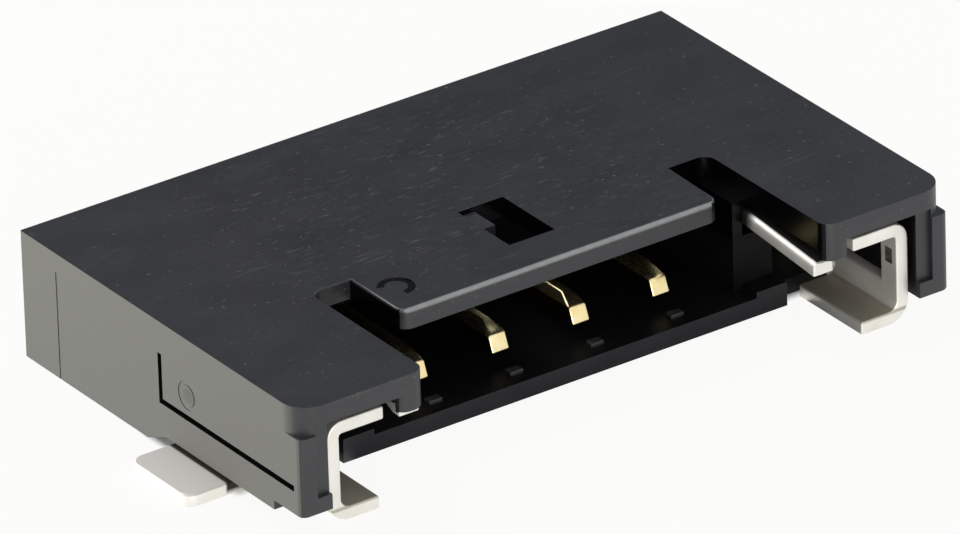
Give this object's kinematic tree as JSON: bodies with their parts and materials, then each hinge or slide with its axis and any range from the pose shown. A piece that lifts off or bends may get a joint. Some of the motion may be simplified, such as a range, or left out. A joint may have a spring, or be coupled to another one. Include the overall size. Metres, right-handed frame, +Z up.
{
  "type": "rectangular board connector",
  "caption": "Low right-angle surface-mount connector: black moulded housing with an open front, a row of gold blade contacts and a folded metal fitting nail at each end.",
  "frame": {"origin": "middle of the footprint, on the board under the solder tabs and tails", "axes": "+X along the contact row, +Y from the open front to the rear, +Z up from the board"},
  "size_m": [0.0136, 0.0082, 0.0022],
  "materials": {
    "moulding": "matte",
    "gold_plate": "satin",
    "tin_plate": "satin"
  },
  "bodies": {
    "root": {"housing": "moulding", "terminal_1": "gold_plate", "terminal_2": "gold_plate", "terminal_3": "gold_plate", "terminal_4": "gold_plate", "fitting_nail_left": "tin_plate", "fitting_nail_right": "tin_plate"}
  },
  "joints": []
}
